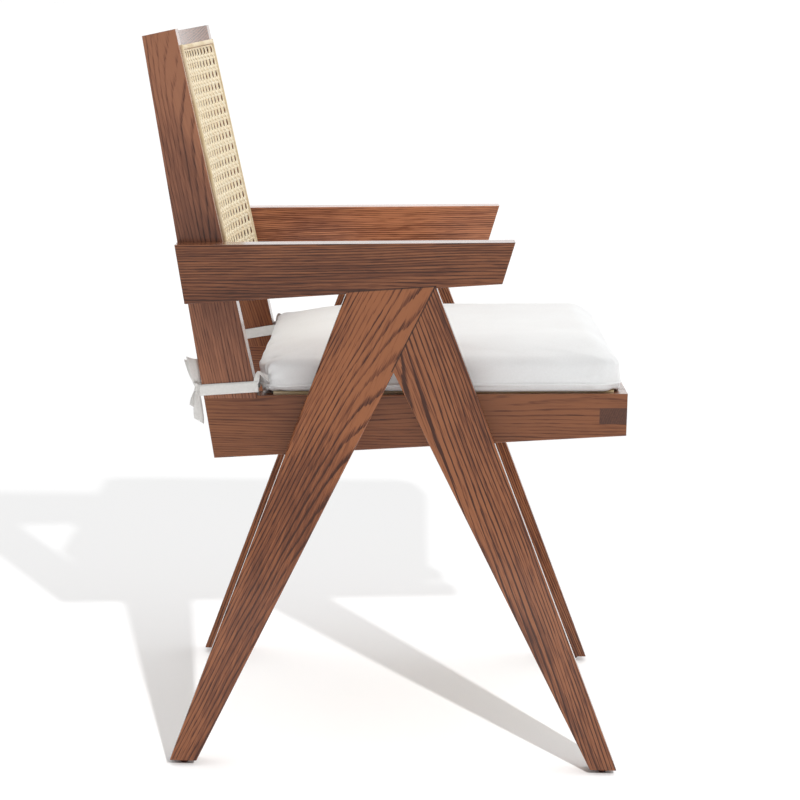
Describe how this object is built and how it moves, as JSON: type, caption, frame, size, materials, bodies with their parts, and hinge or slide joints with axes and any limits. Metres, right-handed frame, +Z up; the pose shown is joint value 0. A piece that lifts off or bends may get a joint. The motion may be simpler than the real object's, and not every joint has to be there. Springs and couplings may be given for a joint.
{
  "type": "cane armchair",
  "caption": "Armchair with V-shaped side legs, flat arms on edge, a curved cane back, a cane seat and a box cushion tied to the back posts.",
  "frame": {"origin": "on the floor, under the middle of the chair's box", "axes": "+Z up, -Y the way the sitter faces, +X to the sitter's left"},
  "size_m": [0.527, 0.53, 0.792],
  "materials": {
    "stained_wood": "satin walnut stain on open-grained wood",
    "plain_wood": "bare beech",
    "cane": "natural woven cane, semi-gloss skin",
    "reed": "natural reed, satin",
    "white_cloth": "white woven cotton",
    "white_ribbon": "white cotton ribbon",
    "glide_plastic": "dark brown moulded",
    "bare_steel": "bare steel"
  },
  "bodies": {
    "root": {"left_rear_leg": "stained_wood", "right_rear_leg": "stained_wood", "left_front_leg": "stained_wood", "right_front_leg": "stained_wood", "left_arm": "stained_wood", "right_arm": "stained_wood", "left_side_rail": "stained_wood", "right_side_rail": "stained_wood", "left_back_post": "stained_wood", "right_back_post": "stained_wood", "left_back_spline": "reed", "right_back_spline": "reed", "left_seat_spline": "reed", "right_seat_spline": "reed", "left_tie_band": "white_ribbon", "right_tie_band": "white_ribbon", "left_tie_knot": "white_ribbon", "right_tie_knot": "white_ribbon", "left_tie_loops": "white_ribbon", "right_tie_loops": "white_ribbon", "left_tie_tails": "white_ribbon", "right_tie_tails": "white_ribbon", "front_seat_rail": "stained_wood", "rear_seat_rail": "stained_wood", "back_top_rail": "stained_wood", "back_bottom_rail": "stained_wood", "back_cane": "cane", "seat_cane": "cane", "back_top_spline": "reed", "back_bottom_spline": "reed", "front_seat_spline": "reed", "rear_seat_spline": "reed", "seat_cushion": "white_cloth", "foot_glides": "glide_plastic", "glide_nails": "bare_steel", "leg_screws": "bare_steel", "leg_dowels": "plain_wood", "arm_dowels": "plain_wood", "post_dowels": "plain_wood", "post_tenons": "plain_wood"}
  },
  "joints": []
}
